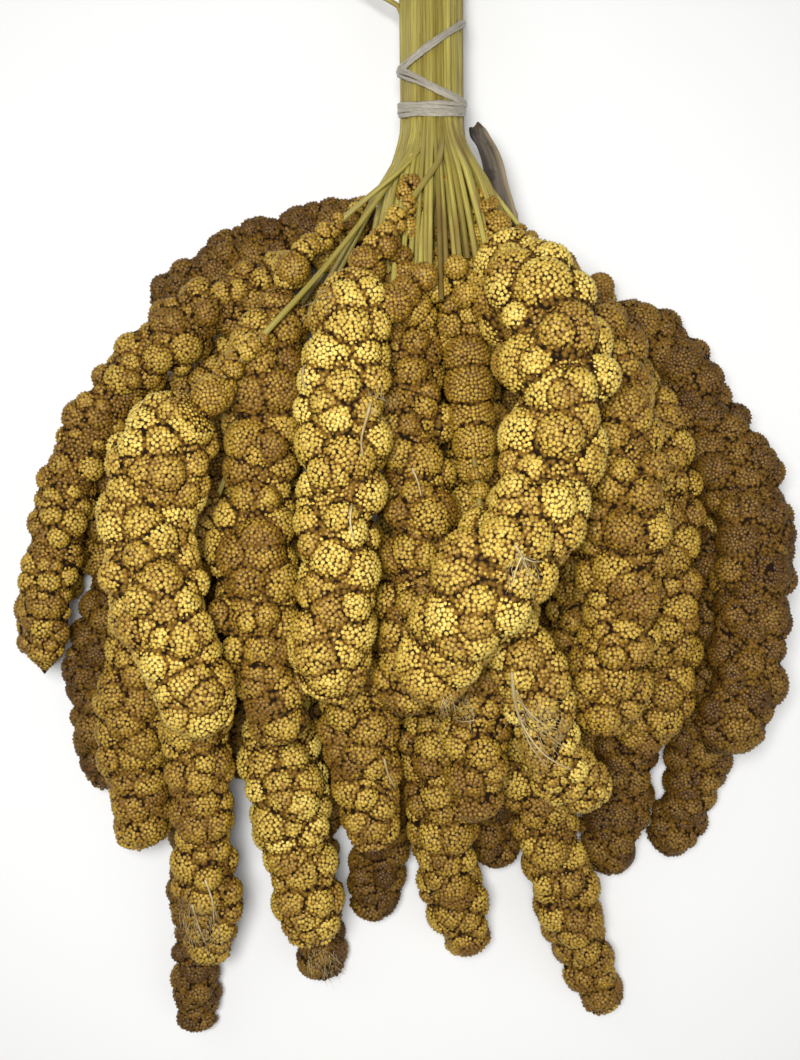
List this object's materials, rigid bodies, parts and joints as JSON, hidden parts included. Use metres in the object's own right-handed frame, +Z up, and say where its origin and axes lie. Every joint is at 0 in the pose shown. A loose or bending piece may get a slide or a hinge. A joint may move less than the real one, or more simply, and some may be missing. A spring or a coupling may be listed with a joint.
{
  "type": "tied bunch of foxtail millet seed heads",
  "caption": "Tied bunch of dried foxtail millet: drooping golden seed heads covered in round grains, on straw stems bound with split-leaf ribbon, lying on its side.",
  "frame": {"origin": "on the surface, under the middle of the lying bunch's bounding box", "axes": "+Y along the bundle of stems toward their cut ends, +Z up from the surface, +X to the right as seen from above with the cut ends up"},
  "size_m": [0.2794, 0.4202, 0.1233],
  "materials": {
    "grains_gold": "small glossy round grains, golden brown, dark in the gaps",
    "grains_yellow": "small glossy round grains, golden yellow, dark in the gaps",
    "grains_brown": "small glossy round grains, brown gold, dark in the gaps",
    "straw": "satin dry straw, finely striped lengthwise",
    "tie_ribbon": "thin glossy split-leaf ribbon with folds",
    "dry_leaf": "matte dry leaf sheath"
  },
  "bodies": {
    "root": {"dry_leaf": "dry_leaf", "head_back_left": "grains_brown", "head_bright_tip": "grains_yellow", "head_centre": "grains_gold", "head_centre_bright": "grains_yellow", "head_centre_long": "grains_gold", "head_floor_centre": "grains_brown", "head_floor_left": "grains_brown", "head_floor_right": "grains_brown", "head_left_bright": "grains_yellow", "head_left_column": "grains_gold", "head_left_inner": "grains_gold", "head_left_low": "grains_gold", "head_left_rim": "grains_gold", "head_low_left": "grains_brown", "head_low_right": "grains_brown", "head_low_right_rim": "grains_brown", "head_middle_low": "grains_gold", "head_right_bright": "grains_yellow", "head_right_column": "grains_gold", "head_right_inner": "grains_gold", "head_right_rim": "grains_brown", "head_right_second": "grains_gold", "head_small_right": "grains_yellow", "head_tip_centre": "grains_brown", "head_tip_centre_left": "grains_brown", "head_tip_far_left": "grains_brown", "head_tip_left": "grains_gold", "head_tip_middle": "grains_gold", "head_tip_right": "grains_gold", "inner_stems": "straw", "stem_back_left": "straw", "stem_bright_tip": "straw", "stem_centre": "straw", "stem_centre_bright": "straw", "stem_centre_long": "straw", "stem_left_bright": "straw", "stem_left_column": "straw", "stem_left_inner": "straw", "stem_left_low": "straw", "stem_left_rim": "straw", "stem_low_left": "straw", "stem_low_right": "straw", "stem_low_right_rim": "straw", "stem_middle_low": "straw", "stem_right_bright": "straw", "stem_right_column": "straw", "stem_right_inner": "straw", "stem_right_rim": "straw", "stem_right_second": "straw", "stem_small_right": "straw", "stem_tip_centre": "straw", "stem_tip_centre_left": "straw", "stem_tip_far_left": "straw", "stem_tip_left": "straw", "stem_tip_middle": "straw", "stem_tip_right": "straw", "tie_ribbon": "tie_ribbon"}
  },
  "joints": []
}
